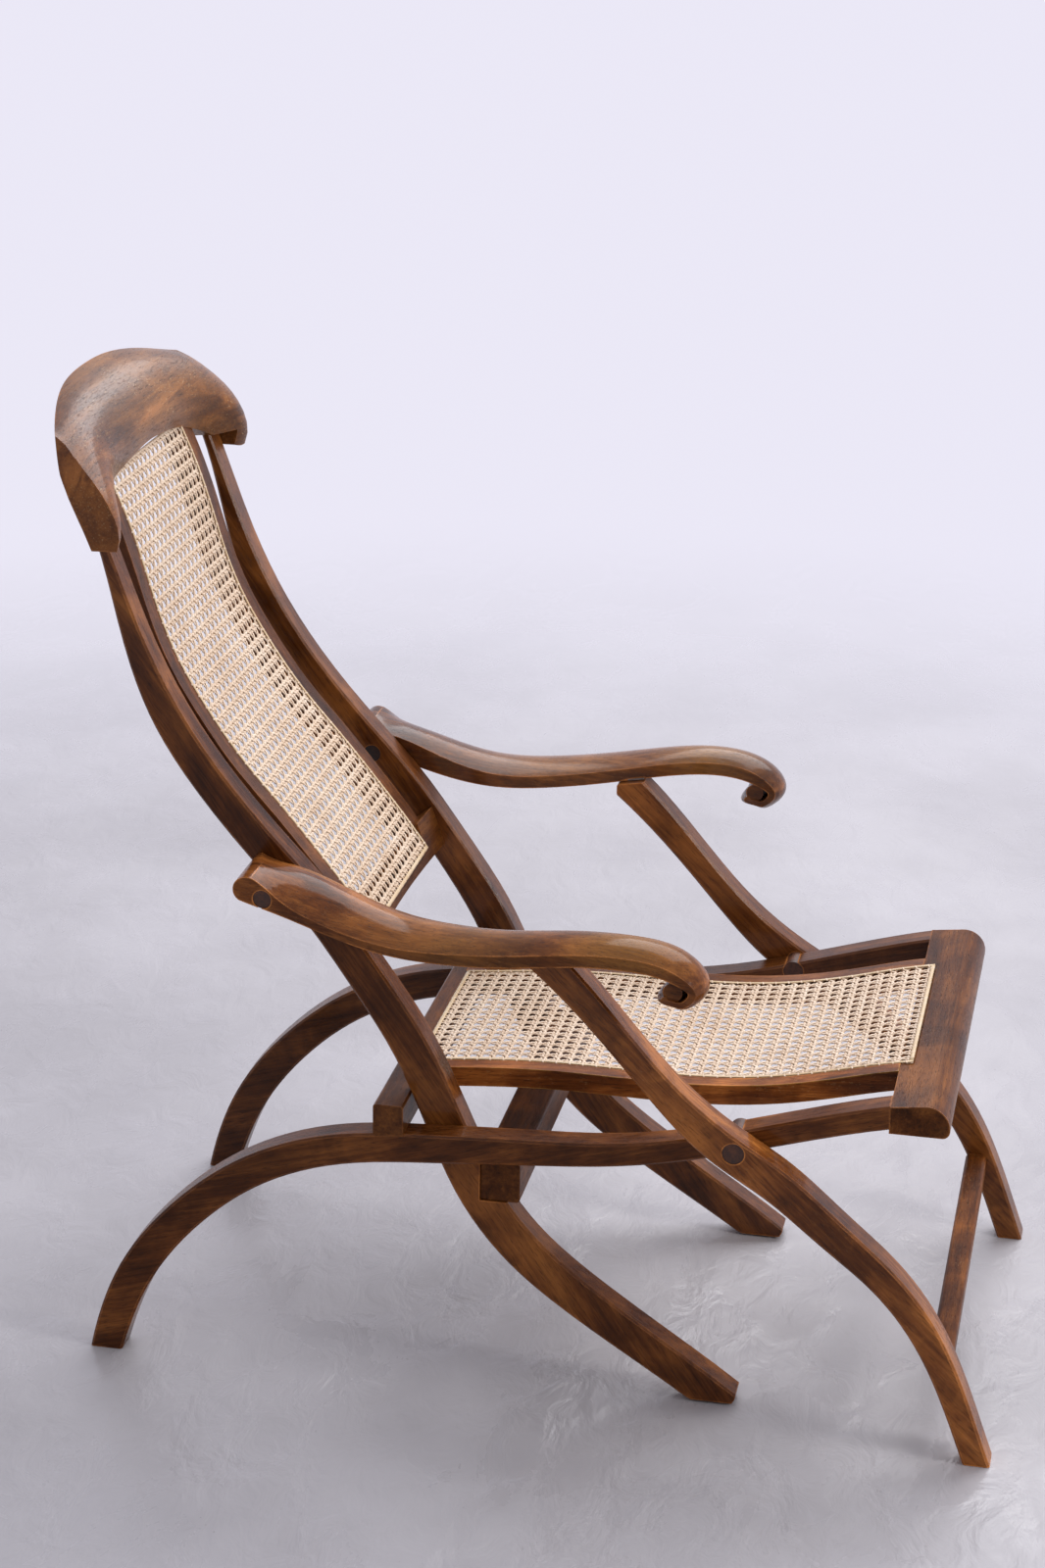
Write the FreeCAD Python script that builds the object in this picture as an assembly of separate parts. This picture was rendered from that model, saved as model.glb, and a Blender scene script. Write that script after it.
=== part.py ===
import FreeCAD, Part
import math
import os

# Steamer deck chair, millimetres, +Z up.
# The front of the chair faces -Y, and +X is the sitter's left.
# Side outlines are written as (forward, height) pairs: forward is measured
# from the heel of the rear leg, height from the floor.

# Overall sizes of the side view; the outlines below are drawn at the first pair
DRAWN_DEPTH = 1002.0
DRAWN_HEIGHT = 994.0
OVERALL_DEPTH = 1002.0
OVERALL_HEIGHT = 994.0
LONG = OVERALL_DEPTH / DRAWN_DEPTH
TALL = OVERALL_HEIGHT / DRAWN_HEIGHT


# Side-view points fitted to the overall depth and height
def fitted(points):
    return [(forward * LONG, height * TALL) for forward, height in points]


# Lateral build-up, measured from the middle plane outwards
STILE_INNER = 173.0
STILE_THICKNESS = 30.0
RAIL_THICKNESS = 30.0
LEG_THICKNESS = 31.0
BOARD_PLAY = 0.4
ARRIS = 2.2

# Pivots of the fold, as (forward, height)
BACK_PIVOT = fitted([(364.0, 274.0)])[0]
LEG_PIVOT = fitted([(668.0, 313.0)])[0]
ARM_PIVOT = fitted([(198.0, 537.0)])[0]
ARM_HINGE = fitted([(464.0, 499.0)])[0]
BACK_PIN_DIAMETER = 12.0
BACK_PIN_SHY_INSIDE = 7.0
BACK_PIN_SHY_OUTSIDE = 6.0
LEG_PIN_DIAMETER = 22.0
ARM_PIN_DIAMETER = 19.0
HINGE_PIN_DIAMETER = 4.0
HINGE_PIN_LENGTH = 24.0
HINGE_FROM_LEG = 17.2
HINGE_EYE_WIDTH = 8.0
HINGE_EYE_RADIUS = 4.0
HINGE_EYE_PLAY = 0.4
HINGE_PLATE = fitted([(461.0, 504.0), (489.0, 508.3), (488.8, 509.8), (460.8, 505.5)])
HINGE_PLATE_WIDTH = 17.0
HINGE_WEB = 5.0
HINGE_WEB_TENON = 1.2
PIN_CLEARANCE = 0.05
PIN_RECESS = 0.8
ARM_PIN_RECESS = 1.5
PIN_SPLIT = 0.2

# Outer seat rail and rear leg in one board: stations and board widths
RAIL_PATH = fitted([(8.0, -24.0), (21.0, 28.0), (46.0, 90.0), (102.0, 165.0), (175.0, 223.0),
                    (263.0, 256.5), (357.0, 267.5), (450.0, 274.0), (544.0, 282.0),
                    (636.0, 301.0), (726.0, 328.0), (830.0, 356.0)])
RAIL_WIDTHS = [31.5, 34.5, 36.0, 35.0, 34.0, 33.0, 31.0, 28.0, 24.8, 23.5, 23.4, 24.5]
RAIL_FRONT = 815.0 * LONG

# Front leg: stations and widths
LEG_PATH = fitted([(457.0, 514.0), (508.5, 467.0), (555.0, 415.5), (600.5, 365.0), (653.0, 319.0),
                   (712.0, 281.0), (767.0, 236.0), (822.0, 189.0), (865.0, 134.0), (896.0, 70.0),
                   (927.0, -12.0)])
LEG_WIDTHS = [33.0, 31.0, 28.0, 30.0, 36.0, 36.0, 33.5, 30.4, 28.4, 26.5, 25.5]
LEG_TOP = fitted([(464.0, 503.2), (520.0, 512.0)])
LEG_TOP_BACK = 460.5 * LONG
LEG_TOP_ROUND = 4.2

# Back stile: stations and widths, from inside the crest rail to the toe
STILE_PATH = fitted([(8.0, 899.0), (25.0, 851.0), (49.0, 772.0), (81.0, 695.0), (126.0, 626.0),
                     (179.0, 563.0), (235.0, 501.0), (284.0, 434.0), (329.0, 365.0), (364.0, 290.0),
                     (399.0, 215.0), (448.0, 150.0), (512.0, 98.0), (581.0, 52.0), (650.0, 6.0), (700.0, -32.0)])
STILE_WIDTHS = [9.0, 11.0, 21.0, 31.0, 33.5, 34.5, 35.5, 36.5, 38.5, 40.5, 43.0, 42.0, 40.0, 38.0, 37.0, 37.0]
STILE_FOOT_HEIGHT = 2.0
TOE_CENTRE = fitted([(660.0, 11.5)])[0]
TOE_RADIUS = 13.0

# Rear crossbar on the outer rails, the stop of the back
CROSSBAR_BACK = 300.0 * LONG
CROSSBAR_FRONT = 331.0 * LONG
CROSSBAR_BOTTOM = 277.0 * TALL
CROSSBAR_TOP = 312.0 * TALL
CROSSBAR_REBATE = 13.0
CROSSBAR_REBATE_DEPTH = 9.0

# Seat cane: dipped surface, half widths at back and front
SEAT_BACK_EDGE = (CROSSBAR_FRONT - CROSSBAR_REBATE, 313.5 * TALL)
SEAT_LINE = [SEAT_BACK_EDGE]
SEAT_LINE += fitted([(350.0, 316.5), (406.0, 322.0), (464.0, 325.5), (531.0, 326.0), (590.0, 326.5),
                     (660.0, 331.5), (740.0, 347.0), (797.0, 362.0), (829.0, 368.5)])
SEAT_CANE_BACK_HALF = 120.0
SEAT_CANE_FRONT_HALF = 129.0
CANE_THICKNESS = 2.4
BINDING_WIDTH = 5.0
BINDING_THICKNESS = 1.2
SEAT_RAIL_COVERED = 12.0
SEAT_RAIL_BARE = 19.5
SEAT_RAIL_DEPTH = 21.0

# Seat front rail
FRONT_RAIL_BACK = 815.0 * LONG
FRONT_RAIL_FRONT = 874.0 * LONG
FRONT_RAIL_BOTTOM = 337.0 * TALL
FRONT_RAIL_PROUD = 0.5
FRONT_RAIL_FALL = 4.0
FRONT_RAIL_TOP = SEAT_LINE[-1][1] + FRONT_RAIL_PROUD
FRONT_RAIL_TOP_BACK = FRONT_RAIL_TOP - FRONT_RAIL_FALL
BULLNOSE_DROP = 24.0

# Back cane: front surface of the inner frame, half width
BACK_LINE = fitted([(-2.0, 912.0), (10.0, 886.0), (31.0, 828.0), (51.0, 764.0), (72.0, 716.0),
                    (99.0, 671.0), (134.0, 622.0), (174.0, 576.0), (210.0, 533.0), (252.0, 480.0),
                    (282.0, 438.0)])
BACK_CANE_HALF = 120.0
BACK_RAIL_COVERED = 12.0
BACK_RAIL_BARE = 24.0
BACK_RAIL_DEPTH = 20.0
BACK_CANE_BOTTOM = 451.0 * TALL
LOWER_RAIL_SECTION = fitted([(243.0, 464.0), (266.0, 482.0), (281.0, 439.0), (250.0, 434.0)])
LOWER_RAIL_BOW = 9.0

# Stretchers
BACK_STRETCHER_SHY = 2.0
FRONT_STRETCHER_ARRIS = 3.0
BACK_STRETCHER = fitted([(404.0, 202.0), (445.0, 202.0), (445.0, 245.0), (404.0, 245.0)])
FRONT_STRETCHER = fitted([(868.0, 76.0), (891.0, 76.0), (891.0, 100.0), (868.0, 100.0)])

# Crest rail sections at half-chair positions, drawn for stiles that end at CREST_DRAWN_HALF,
# with the front face and the rear face of each
CREST_DRAWN_HALF = 203.0
CREST_SECTIONS = [
    (0.0, [(6.0, 917.0), (7.0, 935.0), (-2.0, 957.0), (-28.0, 981.0), (-60.0, 994.0)],
     [(-66.0, 974.0), (-54.0, 938.0), (-36.0, 904.0)]),
    (60.0, [(6.0, 913.0), (8.0, 932.0), (0.0, 954.0), (-24.0, 979.0), (-58.0, 992.0)],
     [(-62.0, 968.0), (-48.0, 932.0), (-32.0, 901.0)]),
    (112.0, [(5.0, 905.0), (10.5, 923.0), (5.5, 947.0), (-15.0, 972.0), (-50.0, 986.0)],
     [(-51.0, 960.0), (-38.0, 924.0), (-23.0, 894.0)]),
    (165.0, [(19.0, 887.0), (23.0, 906.0), (18.5, 932.0), (0.0, 959.0), (-36.0, 975.0)],
     [(-34.0, 945.0), (-23.0, 910.0), (-8.0, 880.0)]),
    (200.0, [(36.0, 868.0), (39.5, 886.0), (35.5, 910.0), (15.0, 941.0), (-24.0, 967.0)],
     [(-21.5, 939.0), (-10.5, 903.0), (7.0, 867.0)]),
    (227.0, [(44.0, 864.0), (46.0, 882.0), (39.5, 902.0), (19.0, 930.0), (-16.0, 955.0)],
     [(-12.0, 938.0), (-1.0, 910.0), (19.0, 862.0)]),
]
EAR_SHOULDER = 883.0 * TALL
EAR_FACE = [(221.0, 840.0), (223.5, 866.0), (225.0, 880.0), (225.5, 900.0), (224.5, 914.0),
            (222.0, 927.0), (217.5, 940.0), (211.0, 952.0), (202.0, 963.0), (188.0, 981.0)]
EAR_WASTE_OUTER = 260.0
EAR_REACH = 150.0
CREST_FRONT_FLATS = 10
CREST_REAR_FLATS = 4

# Arm: stations along the middle of the board and round the scroll,
# each with thickness, outer and inner side height, and how far its inner and outer
# faces lie outside the joint between stile and arm
ARM_STATIONS = [
    ((162.0, 552.5), 27.0, 25.0, 24.0, 0.0, 67.6),
    ((182.0, 546.5), 28.0, 27.0, 24.0, 0.0, 68.1),
    ((199.0, 541.8), 28.5, 22.0, 24.0, 0.0, 68.6),
    ((240.0, 531.0), 29.0, 9.5, 24.0, 0.0, 72.6),
    ((290.0, 516.0), 26.0, 8.0, 18.0, 1.6, 78.6),
    ((345.0, 507.0), 23.0, 9.5, 14.0, 10.6, 85.6),
    ((400.0, 508.0), 22.5, 11.5, 13.5, 24.6, 92.6),
    ((455.0, 514.0), 22.0, 12.5, 13.5, 36.6, 99.6),
    ((510.0, 522.5), 22.0, 12.5, 13.5, 45.6, 104.6),
    ((560.0, 526.0), 22.5, 12.5, 13.5, 53.6, 108.6),
    ((597.0, 522.0), 21.5, 11.5, 13.0, 54.6, 109.6),
    ((621.0, 512.0), 19.0, 9.0, 10.0, 55.1, 109.6),
    ((632.5, 500.0), 16.5, 7.5, 8.0, 55.6, 109.1),
    ((629.0, 487.5), 15.0, 7.0, 7.0, 56.6, 108.1),
    ((618.0, 480.5), 13.5, 6.5, 6.5, 57.6, 107.1),
    ((606.0, 482.5), 12.0, 6.0, 6.0, 58.6, 106.1),
    ((600.0, 490.5), 8.0, 4.0, 4.0, 59.1, 105.6),
]
ARM_CROWN_STEPS = 8
ARM_END_CENTRE = fitted([(182.0, 545.5)])[0]
ARM_END_RADIUS = 13.5
ARM_END_SLANT = 20.0
SCROLL_EYE = fitted([(609.5, 495.5)])[0]
SCROLL_EYE_RADIUS = 9.5
SCROLL_EYE_RECESS = 1.5

# Dowels hidden in the seat frame
DOWEL_DIAMETER = 10.0
DOWEL_LENGTH = 44.0
DOWEL_HEIGHT = 346.0 * TALL
CROSSBAR_DOWEL_LENGTH = 34.0
CROSSBAR_DOWEL_DEPTH = 12.0

# Positions that follow from the sizes above
STILE_OUTER = STILE_INNER + STILE_THICKNESS
RAIL_INNER = STILE_OUTER + BOARD_PLAY
RAIL_OUTER = RAIL_INNER + RAIL_THICKNESS
LEG_INNER = RAIL_OUTER + BOARD_PLAY
LEG_OUTER = LEG_INNER + LEG_THICKNESS
HINGE_CENTRE = LEG_INNER + HINGE_FROM_LEG


# Point in space from a lateral position and a (forward, height) pair
def place(lateral, point):
    return FreeCAD.Vector(lateral, -point[0], point[1])


# Smooth curve through side-view points at one lateral position
def smooth_curve(points, lateral=0.0):
    curve = Part.BSplineCurve()
    curve.interpolate([place(lateral, point) for point in points])
    return curve


# Side-view points at even steps along a smooth curve
def sampled(points, steps):
    curve = smooth_curve(points)
    first = curve.FirstParameter
    reach = curve.LastParameter - first
    found = [curve.value(first + reach * step / steps) for step in range(steps + 1)]
    return [(-point.y, point.z) for point in found]


# Stations set off square to a path by the given distances
def offset_points(path, distances):
    curve = smooth_curve(path)
    moved = []
    for point, distance in zip(path, distances):
        tangent = curve.tangent(curve.parameter(place(0.0, point)))[0]
        forward = point[0] - tangent.z * distance
        height = point[1] - tangent.y * distance
        moved.append((forward, height))
    return moved


# Lateral position that grows with the width over the stiles
def widened(lateral):
    return lateral * STILE_OUTER / CREST_DRAWN_HALF


# Board between two smooth side-view lines and two lateral positions
def board_between(first, second, inner, outer):
    wires = []
    for lateral in (inner, outer):
        top = smooth_curve(first, lateral).toShape()
        bottom = smooth_curve(second, lateral).toShape()
        start = Part.makeLine(place(lateral, first[0]), place(lateral, second[0]))
        end = Part.makeLine(place(lateral, first[-1]), place(lateral, second[-1]))
        wires.append(Part.Wire([top, end, bottom, start]))
    return Part.makeLoft(wires, True, True)


# Closed face with straight sides in side view
def polygon_face(points, lateral):
    corners = [place(lateral, point) for point in points]
    corners.append(corners[0])
    return Part.Face(Part.makePolygon(corners))


# Solid between two lateral positions from a side-view face at the first
def spread(face, width):
    return face.extrude(FreeCAD.Vector(width, 0, 0))


# Box from side-view corners between two lateral positions
def block(low, high, inner, outer):
    size = FreeCAD.Vector(outer - inner, high[0] - low[0], high[1] - low[1])
    corner = FreeCAD.Vector(inner, -high[0], low[1])
    return Part.makeBox(size.x, size.y, size.z, corner)


# Round bar across the chair about a side-view centre
def cross_pin(centre, diameter, inner, outer):
    axis = FreeCAD.Vector(1, 0, 0)
    return Part.makeCylinder(diameter / 2, outer - inner, place(inner, centre), axis)


# Mirror image on the other side of the chair
def mirrored(shape):
    return shape.mirror(FreeCAD.Vector(0, 0, 0), FreeCAD.Vector(1, 0, 0))


# Long curved arrises of a board taken off
def eased(solid, size=ARRIS):
    edges = []
    for edge in solid.Edges:
        if edge.Curve.TypeId == "Part::GeomBSplineCurve" and edge.BoundBox.XLength < 0.01:
            edges.append(edge)
    return solid.makeChamfer(size, edges)


# Curved board of changing width along a side-view path
def curved_board(path, widths, inner, outer):
    halves = [width / 2 for width in widths]
    upper = offset_points(path, halves)
    lower = offset_points(path, [-half for half in halves])
    return eased(board_between(upper, lower, inner, outer))


# Waste under a level foot
def below(height, inner, outer):
    return block((-200, height - 200), (1.5 * OVERALL_DEPTH, height), inner - 5, outer + 5)


# Outer seat rail and rear leg, cut square to the front rail and level on the floor
def side_rail():
    board = curved_board(RAIL_PATH, RAIL_WIDTHS, RAIL_INNER, RAIL_OUTER)
    board = board.cut(below(0.0, RAIL_INNER, RAIL_OUTER))
    beyond = (RAIL_FRONT + 200, FRONT_RAIL_TOP + 100)
    board = board.cut(block((RAIL_FRONT, FRONT_RAIL_BOTTOM - 100), beyond, RAIL_INNER - 5, RAIL_OUTER + 5))
    back_hole = cross_pin(BACK_PIVOT, BACK_PIN_DIAMETER, RAIL_INNER - 5, RAIL_OUTER - 6)
    leg_hole = cross_pin(LEG_PIVOT, LEG_PIN_DIAMETER, RAIL_INNER - 5, RAIL_OUTER + 5)
    return board.cut(back_hole).cut(leg_hole).cut(front_dowel()).cut(crossbar_dowel())


# Dowel from the outer rail into the front rail
def front_dowel():
    centre = place((RAIL_INNER + RAIL_OUTER) / 2, (RAIL_FRONT - DOWEL_LENGTH / 2, DOWEL_HEIGHT))
    return Part.makeCylinder(DOWEL_DIAMETER / 2, DOWEL_LENGTH, centre, FreeCAD.Vector(0, -1, 0))


# Dowel from the crossbar down into the outer rail
def crossbar_dowel():
    middle = (CROSSBAR_BACK + CROSSBAR_FRONT) / 2
    foot = CROSSBAR_TOP - CROSSBAR_DOWEL_DEPTH - CROSSBAR_DOWEL_LENGTH
    centre = place((RAIL_INNER + RAIL_OUTER) / 2, (middle, foot))
    return Part.makeCylinder(DOWEL_DIAMETER / 2, CROSSBAR_DOWEL_LENGTH, centre, FreeCAD.Vector(0, 0, 1))


# Front leg: head cut to the underside of the arm and slotted for the hinge eye, level foot
def front_leg():
    board = curved_board(LEG_PATH, LEG_WIDTHS, LEG_INNER, LEG_OUTER)
    board = board.cut(below(0.0, LEG_INNER, LEG_OUTER))
    board = board.cut(leg_head_waste()).cut(hinge_slot())
    hinge_hole = arm_hinge_pin()
    leg_hole = cross_pin(LEG_PIVOT, LEG_PIN_DIAMETER + 2 * PIN_CLEARANCE, LEG_INNER - 5, LEG_OUTER + 5)
    return board.cut(hinge_hole).cut(leg_hole).removeSplitter()


# Waste above and behind the head of the front leg, round about the hinge pin
def leg_head_waste():
    rise = (LEG_TOP[1][1] - LEG_TOP[0][1]) / (LEG_TOP[1][0] - LEG_TOP[0][0])
    far = 60.0
    above = [(LEG_TOP[0][0] - far, LEG_TOP[0][1] - far * rise),
             (LEG_TOP[1][0] + far, LEG_TOP[1][1] + far * rise),
             (LEG_TOP[1][0] + far, LEG_TOP[1][1] + far), (LEG_TOP[0][0] - far, LEG_TOP[1][1] + far)]
    waste = spread(polygon_face(above, LEG_INNER - 5), LEG_THICKNESS + 10)
    inner = LEG_INNER - 5
    outer = LEG_OUTER + 5
    behind = block((LEG_TOP_BACK - 80, ARM_HINGE[1] - 200), (LEG_TOP_BACK, ARM_HINGE[1] + 25), inner, outer)
    corner = block((LEG_TOP_BACK - 5, ARM_HINGE[1]), (ARM_HINGE[0], ARM_HINGE[1] + 25), inner, outer)
    corner = corner.cut(cross_pin(ARM_HINGE, 2 * LEG_TOP_ROUND, LEG_INNER - 6, LEG_OUTER + 6))
    return waste.fuse(behind).fuse(corner)


# Slot in the head of the front leg for the eye of the arm hinge, open to the rear
def hinge_slot():
    play = HINGE_EYE_RADIUS + HINGE_EYE_PLAY
    half = HINGE_EYE_WIDTH / 2 + HINGE_EYE_PLAY
    low = (LEG_TOP_BACK - 10, ARM_HINGE[1] - play)
    high = (ARM_HINGE[0] + play, ARM_HINGE[1] + 20)
    return block(low, high, HINGE_CENTRE - half, HINGE_CENTRE + half)


# Back stile with its rounded toe and the holes of its pivots
def back_stile():
    board = curved_board(STILE_PATH, STILE_WIDTHS, STILE_INNER, STILE_OUTER)
    board = board.cut(below(STILE_FOOT_HEIGHT, STILE_INNER, STILE_OUTER))
    toe = block((TOE_CENTRE[0], -60), (TOE_CENTRE[0] + 150, 90), STILE_INNER - 5, STILE_OUTER + 5)
    toe = toe.cut(cross_pin(TOE_CENTRE, 2 * TOE_RADIUS, STILE_INNER - 6, STILE_OUTER + 6))
    board = board.cut(toe)
    back_hole = cross_pin(BACK_PIVOT, BACK_PIN_DIAMETER + 2 * PIN_CLEARANCE, STILE_INNER + 6, STILE_OUTER + 5)
    arm_hole = cross_pin(ARM_PIVOT, ARM_PIN_DIAMETER, STILE_INNER - 5, STILE_OUTER + 5)
    notch = spread(polygon_face(BACK_STRETCHER, STILE_INNER - 5), STILE_THICKNESS + 10)
    return board.cut(back_hole).cut(arm_hole).cut(notch)


# Front rail of the seat: flat top and bullnose front, rebated for the cane
def front_rail():
    back_low = (FRONT_RAIL_BACK, FRONT_RAIL_BOTTOM)
    back_high = (FRONT_RAIL_BACK, FRONT_RAIL_TOP_BACK)
    flat_end = (FRONT_RAIL_FRONT - 24.0, FRONT_RAIL_TOP)
    nose = (FRONT_RAIL_FRONT, FRONT_RAIL_TOP - BULLNOSE_DROP)
    nose_mid = (FRONT_RAIL_FRONT - 6.5, FRONT_RAIL_TOP - 7.0)
    chin = (FRONT_RAIL_FRONT - 8.0, FRONT_RAIL_BOTTOM)
    chin_mid = (FRONT_RAIL_FRONT - 2.0, FRONT_RAIL_BOTTOM + 2.5)
    left = -RAIL_OUTER
    top = Part.makeLine(place(left, back_high), place(left, flat_end))
    roll = Part.Arc(place(left, flat_end), place(left, nose_mid), place(left, nose)).toShape()
    under = Part.Arc(place(left, nose), place(left, chin_mid), place(left, chin)).toShape()
    bottom = Part.makeLine(place(left, chin), place(left, back_low))
    rear = Part.makeLine(place(left, back_low), place(left, back_high))
    rail = spread(Part.Face(Part.Wire([top, roll, under, bottom, rear])), 2 * RAIL_OUTER)
    dowel = front_dowel()
    rail = rail.cut(dowel).cut(mirrored(dowel))
    return rail.cut(seat_cane_space())


# Crossbar behind the stiles, notched over the outer rails and rebated for the cane
def rear_crossbar(rails):
    low = (CROSSBAR_BACK, CROSSBAR_BOTTOM)
    high = (CROSSBAR_FRONT, CROSSBAR_TOP)
    bar = block(low, high, -RAIL_OUTER, RAIL_OUTER)
    bar = bar.makeChamfer(ARRIS, [edge for edge in bar.Edges if edge.BoundBox.XLength > 100])
    rebate_low = (SEAT_BACK_EDGE[0], CROSSBAR_TOP - CROSSBAR_REBATE_DEPTH)
    half = SEAT_CANE_BACK_HALF + SEAT_RAIL_BARE
    bar = bar.cut(block(rebate_low, (CROSSBAR_FRONT + 5, CROSSBAR_TOP + 5), -half, half))
    dowel = crossbar_dowel()
    for other in rails + [dowel, mirrored(dowel)]:
        bar = bar.cut(other)
    return bar


# Four-cornered plan prism that splays from the back of the seat to the front
def plan_prism(back_inner, back_outer, front_inner, front_outer):
    low = SEAT_LINE[0][1] - 100
    high = SEAT_LINE[-1][1] + 100
    back = SEAT_LINE[0][0]
    front = SEAT_LINE[-1][0]
    corners = [FreeCAD.Vector(back_inner, -back, low), FreeCAD.Vector(back_outer, -back, low),
               FreeCAD.Vector(front_outer, -front, low), FreeCAD.Vector(front_inner, -front, low)]
    corners.append(corners[0])
    return Part.Face(Part.makePolygon(corners)).extrude(FreeCAD.Vector(0, 0, high - low))


# Layer that follows a side-view line, from one offset above it to another
def layer(line, low, high, half):
    upper = offset_points(line, [high] * len(line))
    lower = offset_points(line, [low] * len(line))
    return board_between(upper, lower, -half, half)


# Space that the seat cane and its frame take
def seat_cane_space():
    body = layer(SEAT_LINE, -CANE_THICKNESS, 20.0, SEAT_CANE_FRONT_HALF + 30)
    back = SEAT_CANE_BACK_HALF
    front = SEAT_CANE_FRONT_HALF
    return body.common(plan_prism(-back, back, -front, front))


# Woven seat panel as a thin closed sheet with its top on the seat line
def seat_cane():
    body = layer(SEAT_LINE, -CANE_THICKNESS, 0.0, SEAT_CANE_FRONT_HALF + 30)
    back = SEAT_CANE_BACK_HALF
    front = SEAT_CANE_FRONT_HALF
    return body.common(plan_prism(-back, back, -front, front))


# Strip of binding cane round the edge of the seat panel
def seat_binding():
    body = layer(SEAT_LINE, 0.0, BINDING_THICKNESS, SEAT_CANE_FRONT_HALF + 30)
    back = SEAT_CANE_BACK_HALF
    front = SEAT_CANE_FRONT_HALF
    ring = body.common(plan_prism(-back, back, -front, front))
    inner = plan_prism(-back + BINDING_WIDTH, back - BINDING_WIDTH,
                       -front + BINDING_WIDTH, front - BINDING_WIDTH)
    first = SEAT_LINE[0][0] + BINDING_WIDTH
    last = SEAT_LINE[-1][0] - BINDING_WIDTH
    low = SEAT_LINE[0][1] - 100
    high = SEAT_LINE[-1][1] + 100
    inner = inner.common(block((first, low), (last, high), -front, front))
    return ring.cut(inner)


# Inner seat rail under the edge of the cane, dipped like the seat
def inner_seat_rail(crossbar):
    body = layer(SEAT_LINE, -SEAT_RAIL_DEPTH, 0.0, SEAT_CANE_FRONT_HALF + 40)
    back = SEAT_CANE_BACK_HALF
    front = SEAT_CANE_FRONT_HALF
    plan = plan_prism(back - SEAT_RAIL_COVERED, back + SEAT_RAIL_BARE,
                      front - SEAT_RAIL_COVERED, front + SEAT_RAIL_BARE)
    rail = body.common(plan).cut(seat_cane_space()).cut(crossbar)
    ahead = (FRONT_RAIL_BACK + 100, FRONT_RAIL_TOP + 100)
    return rail.cut(block((FRONT_RAIL_BACK, FRONT_RAIL_BOTTOM - 50), ahead, 0, STILE_OUTER))


# Lower rail of the back, bowed to the rear between the stiles
def back_lower_rail():
    wires = []
    for lateral in [-STILE_INNER, -0.6 * STILE_INNER, 0.0, 0.6 * STILE_INNER, STILE_INNER]:
        bow = LOWER_RAIL_BOW * (1 - (lateral / STILE_INNER) ** 2)
        section = [place(lateral, (point[0] - bow, point[1] - 0.3 * bow)) for point in LOWER_RAIL_SECTION]
        wires.append(Part.makePolygon(section + [section[0]]))
    return Part.makeLoft(wires, True, False)


# Space in front of the back frame's rebate for the cane
def back_layer(low, high, half):
    bottom = offset_points(BACK_LINE, [low] * len(BACK_LINE))
    top = offset_points(BACK_LINE, [high] * len(BACK_LINE))
    body = board_between(top, bottom, -half, half)
    under = block((-200, BACK_CANE_BOTTOM - 150), (OVERALL_DEPTH, BACK_CANE_BOTTOM), -half - 5, half + 5)
    return body.cut(under)


# Woven back panel as a thin closed sheet
def back_cane():
    return back_layer(0.0, CANE_THICKNESS, BACK_CANE_HALF)


# Strips of binding cane down the sides and along the foot of the back panel
def back_binding():
    ring = back_layer(CANE_THICKNESS, CANE_THICKNESS + BINDING_THICKNESS, BACK_CANE_HALF)
    half = BACK_CANE_HALF - BINDING_WIDTH
    foot = BACK_CANE_BOTTOM + BINDING_WIDTH
    return ring.cut(block((-200, foot), (OVERALL_DEPTH, OVERALL_HEIGHT), -half, half))


# Inner rail of the back between the lower rail and the crest
def inner_back_rail():
    body = back_layer(-BACK_RAIL_DEPTH, CANE_THICKNESS, BACK_CANE_HALF + BACK_RAIL_BARE)
    covered = BACK_CANE_HALF - BACK_RAIL_COVERED
    keep = block((-200, 0), (OVERALL_DEPTH, OVERALL_HEIGHT), covered, BACK_CANE_HALF + BACK_RAIL_BARE)
    rail = body.common(keep).cut(back_layer(0.0, 20.0, BACK_CANE_HALF))
    seat = LOWER_RAIL_SECTION[0]
    slope = (LOWER_RAIL_SECTION[1][1] - seat[1]) / (LOWER_RAIL_SECTION[1][0] - seat[0])
    under = [(seat[0] - 100, seat[1] - 100 * slope), (seat[0] + 100, seat[1] + 100 * slope),
             (seat[0] + 100, seat[1] - 150), (seat[0] - 100, seat[1] - 150)]
    return rail.cut(spread(polygon_face(under, 0.0), STILE_OUTER))


# Bar let into the front edges of the stiles below the seat
def back_stretcher():
    half = STILE_OUTER - BACK_STRETCHER_SHY
    bar = spread(polygon_face(BACK_STRETCHER, -half), 2 * half)
    return bar.makeChamfer(ARRIS, [edge for edge in bar.Edges if edge.BoundBox.XLength > 100])


# Bar between the front legs near the floor
def front_stretcher():
    bar = spread(polygon_face(FRONT_STRETCHER, -LEG_INNER), 2 * LEG_INNER)
    return bar.makeChamfer(FRONT_STRETCHER_ARRIS, [edge for edge in bar.Edges if edge.BoundBox.XLength > 100])


# One closed section of the crest: convex front, straight foot, hollow rear
def crest_section(lateral, front, rear):
    points = sampled(front, CREST_FRONT_FLATS)
    points += sampled([front[-1]] + rear, CREST_REAR_FLATS)[1:]
    corners = [place(lateral, point) for point in points]
    corners.append(corners[0])
    return Part.makePolygon(corners)


# Waste outside the leaning end face of the crest
def ear_waste():
    outline = EAR_FACE + [(EAR_WASTE_OUTER, EAR_FACE[-1][1]), (EAR_WASTE_OUTER, EAR_FACE[0][1])]
    corners = []
    for lateral, height in outline:
        corners.append(FreeCAD.Vector(widened(lateral), EAR_REACH, height * TALL))
    corners.append(corners[0])
    return Part.Face(Part.makePolygon(corners)).extrude(FreeCAD.Vector(0, -2 * EAR_REACH, 0))


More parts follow.
